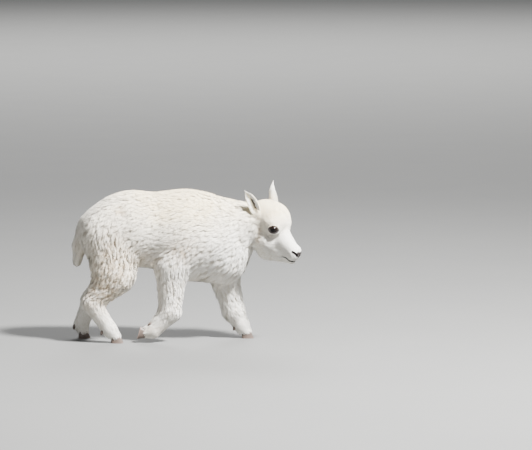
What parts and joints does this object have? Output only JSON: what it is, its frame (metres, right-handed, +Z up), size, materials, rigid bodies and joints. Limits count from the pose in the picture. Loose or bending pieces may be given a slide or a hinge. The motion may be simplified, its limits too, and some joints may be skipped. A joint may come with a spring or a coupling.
{
  "type": "mountain goat kid",
  "caption": "Still life-size figure of a young white mountain goat kid walking, head turned to its right and one forefoot lifted, with a short woolly coat.",
  "frame": {"origin": "middle of the bounding box, on the ground plane under the hooves", "axes": "+X the way the kid walks, +Y its left side, +Z up"},
  "size_m": [0.6026, 0.1704, 0.4151],
  "materials": {
    "coat": "matt white to cream wool and hair",
    "eyes": "glossy dark brown",
    "hooves": "dull grey-brown horn"
  },
  "bodies": {
    "root": {"torso": "coat", "neck": "coat", "head": "coat", "tail": "coat", "eye_right": "eyes", "ear_right": "coat", "eye_left": "eyes", "ear_left": "coat", "foreleg_right_forearm": "coat", "foreleg_right_cannon": "coat", "foreleg_right_pastern": "coat", "foreleg_right_claw_inner": "hooves", "foreleg_right_dewclaw_outer": "hooves", "foreleg_right_dewclaw_inner": "hooves", "foreleg_right_claw_outer": "hooves", "foreleg_left_forearm": "coat", "foreleg_left_cannon": "coat", "foreleg_left_pastern": "coat", "foreleg_left_claw_inner": "hooves", "foreleg_left_dewclaw_inner": "hooves", "foreleg_left_dewclaw_outer": "hooves", "foreleg_left_claw_outer": "hooves", "hindleg_right_thigh": "coat", "hindleg_right_shank": "coat", "hindleg_right_cannon": "coat", "hindleg_right_pastern": "coat", "hindleg_right_claw_inner": "hooves", "hindleg_right_dewclaw_outer": "hooves", "hindleg_right_dewclaw_inner": "hooves", "hindleg_right_claw_outer": "hooves", "hindleg_left_thigh": "coat", "hindleg_left_shank": "coat", "hindleg_left_cannon": "coat", "hindleg_left_pastern": "coat", "hindleg_left_claw_inner": "hooves", "hindleg_left_dewclaw_inner": "hooves", "hindleg_left_dewclaw_outer": "hooves", "hindleg_left_claw_outer": "hooves"}
  },
  "joints": []
}
